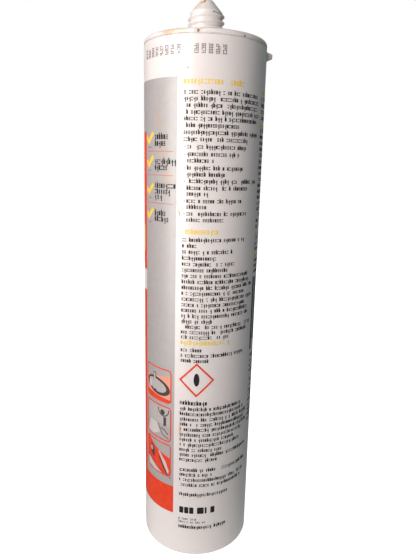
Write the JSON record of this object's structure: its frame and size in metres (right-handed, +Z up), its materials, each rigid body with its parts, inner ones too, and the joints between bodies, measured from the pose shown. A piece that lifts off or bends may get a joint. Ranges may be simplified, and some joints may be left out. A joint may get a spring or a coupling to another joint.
{
  "type": "sealant cartridge",
  "caption": "Round plastic sealant cartridge with a closed threaded neck, a sliding piston in its open base and its fill of sealant.",
  "frame": {"origin": "centre of the open base, on the barrel's axis, in the plane of the base rim", "axes": "+Z up the barrel's axis to the neck; +X to the small lug on the barrel's side"},
  "size_m": [0.0518, 0.0496, 0.2375],
  "materials": {
    "barrel_plastic": "satin moulded polyethylene, printed",
    "piston_plastic": "satin moulded polyethylene",
    "sealant": "smooth uncured paste",
    "print_grey": "printed ink",
    "print_red": "printed ink",
    "print_yellow": "printed ink",
    "print_dark": "printed ink"
  },
  "bodies": {
    "cartridge": {"cartridge": "barrel_plastic", "sealant": "sealant"},
    "piston": {"piston": "piston_plastic"}
  },
  "joints": [
    {"name": "piston_slide", "type": "slide", "parent": "cartridge", "child": "piston", "axis": [0, 0, 1], "range_m": [0, 0.1645], "deforming": ["sealant"]}
  ]
}
